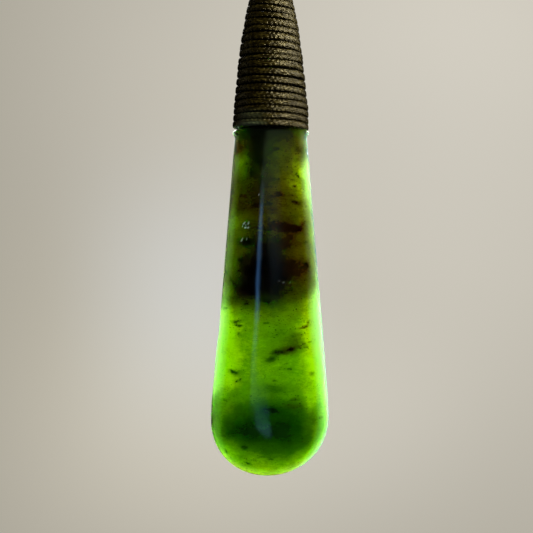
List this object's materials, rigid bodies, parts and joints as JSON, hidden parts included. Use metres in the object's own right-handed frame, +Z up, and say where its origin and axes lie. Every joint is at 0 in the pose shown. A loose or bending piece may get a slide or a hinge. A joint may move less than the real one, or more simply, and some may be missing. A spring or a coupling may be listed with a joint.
{
  "type": "teardrop pendant",
  "caption": "Long polished greenstone drop with a round end, its neck whipped with waxed cord and hung by a small loop of the same cord.",
  "frame": {"origin": "the bearing point inside the top of the hanging loop, where the necklace or hook that carries the pendant touches it", "axes": "+Z up along the drop, -Y towards the viewer of the picture, +X to the viewer's right"},
  "size_m": [0.0168, 0.0108, 0.0813],
  "materials": {
    "greenstone": "polished",
    "waxed_cord": "satin"
  },
  "bodies": {
    "root": {"jade_drop": "greenstone", "cord_whipping": "waxed_cord", "hanging_loop": "waxed_cord"}
  },
  "joints": []
}
